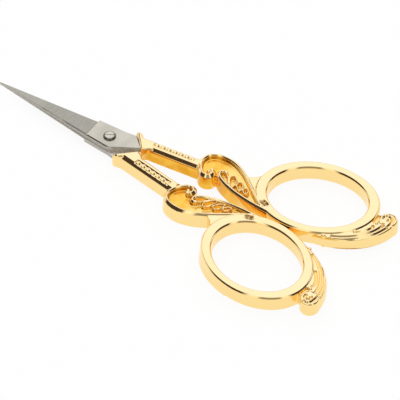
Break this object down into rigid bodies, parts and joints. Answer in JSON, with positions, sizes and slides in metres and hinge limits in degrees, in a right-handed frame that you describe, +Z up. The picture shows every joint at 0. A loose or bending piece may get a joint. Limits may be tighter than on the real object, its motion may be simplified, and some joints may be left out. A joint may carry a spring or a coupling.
{
  "type": "craft scissors",
  "caption": "Small craft scissors with slim pointed blades on a pivot screw and scrolled cast handles with oval finger rings.",
  "frame": {"origin": "middle of the closed pair's length and width, on the plane it lies on", "axes": "+X from the blade tips to the finger rings, +Y toward the upper half's handle, +Z up out of the face with the screw head"},
  "size_m": [0.1152, 0.0524, 0.0046],
  "materials": {
    "blade_steel": "fine ground stainless steel",
    "gold_plate": "polished pale gold plating on a casting",
    "screw_steel": "polished steel"
  },
  "bodies": {
    "lower_half": {"blade_lower": "blade_steel", "handle_lower": "gold_plate", "pivot_screw": "screw_steel"},
    "upper_half": {"blade_upper": "blade_steel", "handle_upper": "gold_plate"}
  },
  "joints": [
    {"name": "blade_pivot", "type": "hinge", "parent": "lower_half", "child": "upper_half", "pos_m": [-0.02089, 0, 0.0023], "axis": [0, 0, 1], "range_deg": [0, 105]}
  ]
}
